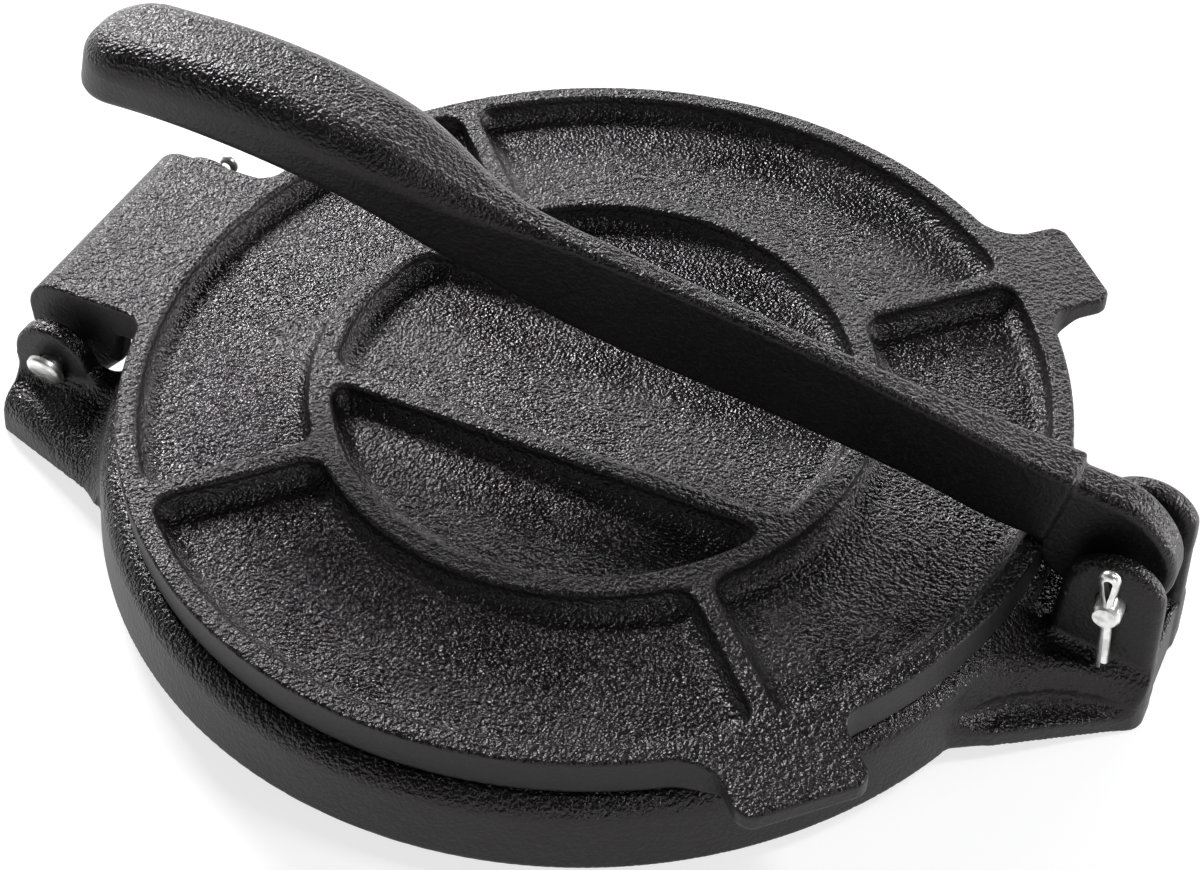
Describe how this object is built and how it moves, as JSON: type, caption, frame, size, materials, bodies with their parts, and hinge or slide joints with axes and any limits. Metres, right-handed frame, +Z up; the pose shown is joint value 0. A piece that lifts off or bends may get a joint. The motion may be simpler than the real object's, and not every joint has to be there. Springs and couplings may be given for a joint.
{
  "type": "cast iron tortilla press",
  "caption": "Round hinged press for flattening dough, two ribbed cast iron plates, with a long lever that pivots between two ears and folds back over the top.",
  "frame": {"origin": "centre of the closed press in plan, on the surface it stands on", "axes": "+X from the hinge to the lever's pivot, +Z up, Y along both pins"},
  "size_m": [0.2628, 0.2164, 0.0938],
  "materials": {
    "cast_iron": "seasoned black, sand-cast grain",
    "pin_steel": "bright zinc"
  },
  "bodies": {
    "base": {"base_plate": "cast_iron", "hinge_pin": "pin_steel", "hinge_cotter_pin": "pin_steel", "lever_pin": "pin_steel", "lever_cotter_pin": "pin_steel"},
    "top": {"top_plate": "cast_iron"},
    "lever": {"lever": "cast_iron"}
  },
  "joints": [
    {"name": "lever_pivot", "type": "hinge", "parent": "base", "child": "lever", "pos_m": [0.119, 0, 0.0316], "axis": [0, 1, 0], "range_deg": [0, 170]},
    {"name": "plate_hinge", "type": "hinge", "parent": "base", "child": "top", "pos_m": [-0.1209, 0, 0.0168], "axis": [0, -1, 0], "range_deg": [0, 105]}
  ],
  "couplings": [
    {"joint": "plate_hinge", "follows": "lever_pivot", "ratio": 0.08}
  ]
}
